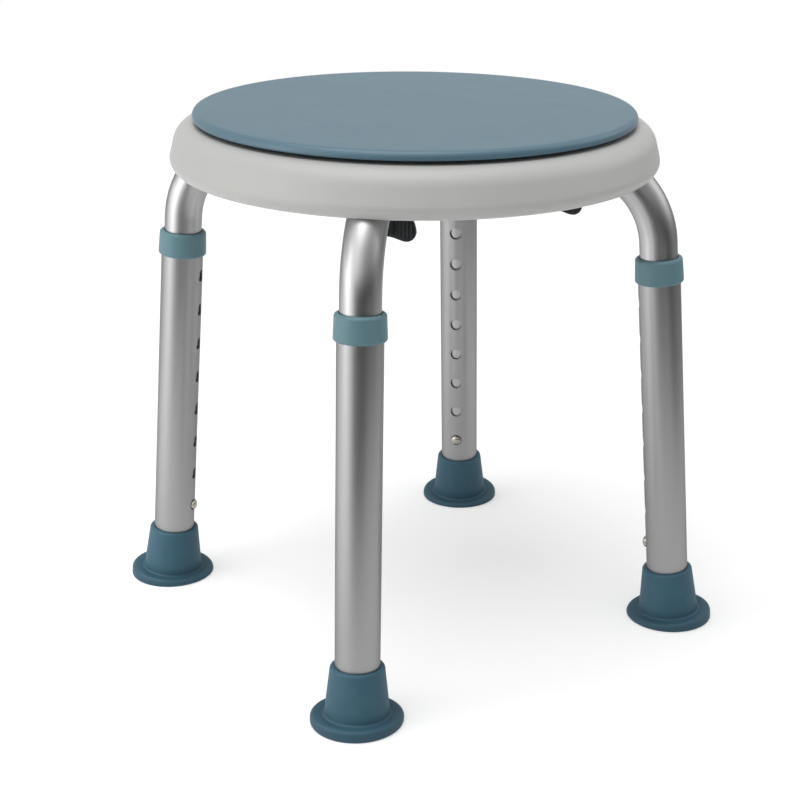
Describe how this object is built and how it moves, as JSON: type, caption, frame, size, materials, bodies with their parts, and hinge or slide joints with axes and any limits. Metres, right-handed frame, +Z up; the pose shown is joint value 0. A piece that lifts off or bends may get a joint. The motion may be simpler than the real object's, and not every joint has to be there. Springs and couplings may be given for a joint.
{
  "type": "shower stool",
  "caption": "Round shower stool: a turning seat disc on a moulded base, with splayed telescopic tube legs, snap buttons, hand screws and wide rubber feet.",
  "frame": {"origin": "on the floor, below the middle of the seat, with the legs at their lowest", "axes": "+Z up; the four legs stand on the X and Y axes, and the front leg is towards -Y"},
  "size_m": [0.4274, 0.4274, 0.354],
  "materials": {
    "white_plastic": "smooth moulded, low gloss",
    "teal_plastic": "satin moulded",
    "teal_rubber": "matt",
    "tube_metal": "satin anodised",
    "steel": "zinc or nickel plated",
    "brass": "turned",
    "black_plastic": "fine grained",
    "bearing_plastic": "natural acetal"
  },
  "bodies": {
    "stool_frame": {"seat_base": "white_plastic", "threaded_inserts": "brass", "lower_race": "black_plastic", "pivot_bush": "bearing_plastic", "front_upper_tube": "tube_metal", "front_arm_plug": "black_plastic", "front_snap_spring": "steel", "right_upper_tube": "tube_metal", "right_arm_plug": "black_plastic", "right_snap_spring": "steel", "back_upper_tube": "tube_metal", "back_arm_plug": "black_plastic", "back_snap_spring": "steel", "left_upper_tube": "tube_metal", "left_arm_plug": "black_plastic", "left_snap_spring": "steel"},
    "swivel_seat": {"swivel_disc": "teal_plastic", "upper_race": "black_plastic", "pivot_insert": "brass", "pivot_washer": "steel", "pivot_bolt": "steel"},
    "bearing_cage": {"ball_cage": "bearing_plastic", "bearing_balls": "steel"},
    "front_leg": {"front_lower_tube": "tube_metal", "front_collar": "teal_plastic", "front_foot": "teal_rubber", "front_foot_disc": "steel"},
    "front_button": {"front_snap_button": "steel"},
    "front_clamp_washer": {"front_saddle_washer": "steel"},
    "front_hand_screw": {"front_hand_knob": "black_plastic", "front_screw_stud": "steel"},
    "right_leg": {"right_lower_tube": "tube_metal", "right_collar": "teal_plastic", "right_foot": "teal_rubber", "right_foot_disc": "steel"},
    "right_button": {"right_snap_button": "steel"},
    "right_clamp_washer": {"right_saddle_washer": "steel"},
    "right_hand_screw": {"right_hand_knob": "black_plastic", "right_screw_stud": "steel"},
    "back_leg": {"back_lower_tube": "tube_metal", "back_collar": "teal_plastic", "back_foot": "teal_rubber", "back_foot_disc": "steel"},
    "back_button": {"back_snap_button": "steel"},
    "back_clamp_washer": {"back_saddle_washer": "steel"},
    "back_hand_screw": {"back_hand_knob": "black_plastic", "back_screw_stud": "steel"},
    "left_leg": {"left_lower_tube": "tube_metal", "left_collar": "teal_plastic", "left_foot": "teal_rubber", "left_foot_disc": "steel"},
    "left_button": {"left_snap_button": "steel"},
    "left_clamp_washer": {"left_saddle_washer": "steel"},
    "left_hand_screw": {"left_hand_knob": "black_plastic", "left_screw_stud": "steel"}
  },
  "joints": [
    {"name": "seat_swivel", "type": "hinge", "parent": "stool_frame", "child": "swivel_seat", "pos_m": [0, 0, 0.34675], "axis": [0, 0, 1], "continuous": true},
    {"name": "cage_orbit", "type": "hinge", "parent": "stool_frame", "child": "bearing_cage", "pos_m": [0, 0, 0.34675], "axis": [0, 0, 1], "continuous": true},
    {"name": "front_leg_slide", "type": "slide", "parent": "stool_frame", "child": "front_leg", "axis": [0, -0.0758, -0.9971], "range_m": [0, 0.15]},
    {"name": "front_button_press", "type": "slide", "parent": "stool_frame", "child": "front_button", "axis": [0, -0.9971, 0.0758], "range_m": [0, 0.004], "stiffness_N_per_m": 1000, "springref_m": -0.002, "deforming": ["front_snap_spring"]},
    {"name": "front_screw_travel", "type": "slide", "parent": "stool_frame", "child": "front_clamp_washer", "axis": [0, 0, -1], "range_m": [0, 0.005]},
    {"name": "front_screw_turn", "type": "hinge", "parent": "front_clamp_washer", "child": "front_hand_screw", "pos_m": [0, -0.093, 0.3], "axis": [0, 0, -1], "range_deg": [0, 1805]},
    {"name": "right_leg_slide", "type": "slide", "parent": "stool_frame", "child": "right_leg", "axis": [0.0758, 0, -0.9971], "range_m": [0, 0.15]},
    {"name": "right_button_press", "type": "slide", "parent": "stool_frame", "child": "right_button", "axis": [0.9971, 0, 0.0758], "range_m": [0, 0.004], "stiffness_N_per_m": 1000, "springref_m": -0.002, "deforming": ["right_snap_spring"]},
    {"name": "right_screw_travel", "type": "slide", "parent": "stool_frame", "child": "right_clamp_washer", "axis": [0, 0, -1], "range_m": [0, 0.005]},
    {"name": "right_screw_turn", "type": "hinge", "parent": "right_clamp_washer", "child": "right_hand_screw", "pos_m": [0.093, 0, 0.3], "axis": [0, 0, -1], "range_deg": [0, 1805]},
    {"name": "back_leg_slide", "type": "slide", "parent": "stool_frame", "child": "back_leg", "axis": [0, 0.0758, -0.9971], "range_m": [0, 0.15]},
    {"name": "back_button_press", "type": "slide", "parent": "stool_frame", "child": "back_button", "axis": [0, 0.9971, 0.0758], "range_m": [0, 0.004], "stiffness_N_per_m": 1000, "springref_m": -0.002, "deforming": ["back_snap_spring"]},
    {"name": "back_screw_travel", "type": "slide", "parent": "stool_frame", "child": "back_clamp_washer", "axis": [0, 0, -1], "range_m": [0, 0.005]},
    {"name": "back_screw_turn", "type": "hinge", "parent": "back_clamp_washer", "child": "back_hand_screw", "pos_m": [0, 0.093, 0.3], "axis": [0, 0, -1], "range_deg": [0, 1805]},
    {"name": "left_leg_slide", "type": "slide", "parent": "stool_frame", "child": "left_leg", "axis": [-0.0758, 0, -0.9971], "range_m": [0, 0.15]},
    {"name": "left_button_press", "type": "slide", "parent": "stool_frame", "child": "left_button", "axis": [-0.9971, 0, 0.0758], "range_m": [0, 0.004], "stiffness_N_per_m": 1000, "springref_m": -0.002, "deforming": ["left_snap_spring"]},
    {"name": "left_screw_travel", "type": "slide", "parent": "stool_frame", "child": "left_clamp_washer", "axis": [0, 0, -1], "range_m": [0, 0.005]},
    {"name": "left_screw_turn", "type": "hinge", "parent": "left_clamp_washer", "child": "left_hand_screw", "pos_m": [-0.093, 0, 0.3], "axis": [0, 0, -1], "range_deg": [0, 1805]}
  ],
  "couplings": [
    {"joint": "cage_orbit", "follows": "seat_swivel", "ratio": 0.5},
    {"joint": "front_screw_turn", "follows": "front_screw_travel", "rad_per_m": 6283.2},
    {"joint": "right_screw_turn", "follows": "right_screw_travel", "rad_per_m": 6283.2},
    {"joint": "back_screw_turn", "follows": "back_screw_travel", "rad_per_m": 6283.2},
    {"joint": "left_screw_turn", "follows": "left_screw_travel", "rad_per_m": 6283.2}
  ]
}
